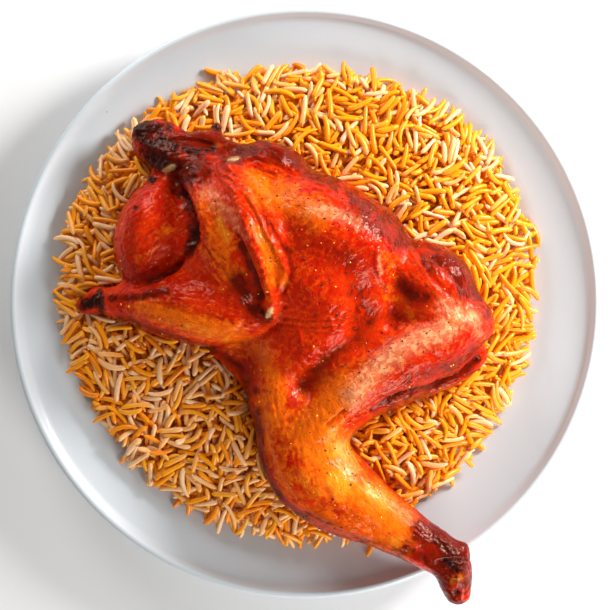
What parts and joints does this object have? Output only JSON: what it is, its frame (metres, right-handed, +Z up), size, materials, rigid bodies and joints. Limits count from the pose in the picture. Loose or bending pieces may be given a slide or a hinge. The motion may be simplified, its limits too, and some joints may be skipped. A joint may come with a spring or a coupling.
{
  "type": "roast half chicken on rice on a plate",
  "caption": "Roast half chicken, skin side up, on a bed of long golden rice, served on a round white coupe plate.",
  "frame": {"origin": "on the plate's axis, in the plane its foot ring stands on", "axes": "+Z up, +X to the right and +Y to the top of the dish as seen from above with the leg at the lower right"},
  "size_m": [0.2798, 0.2801, 0.0732],
  "materials": {
    "plate": "white gloss glaze",
    "rice": "cooked rice, cream to orange, slightly moist",
    "chicken": "oily roast skin, red brown to orange, charred at the joints"
  },
  "bodies": {
    "root": {"plate": "plate", "rice": "rice", "chicken": "chicken"}
  },
  "joints": []
}
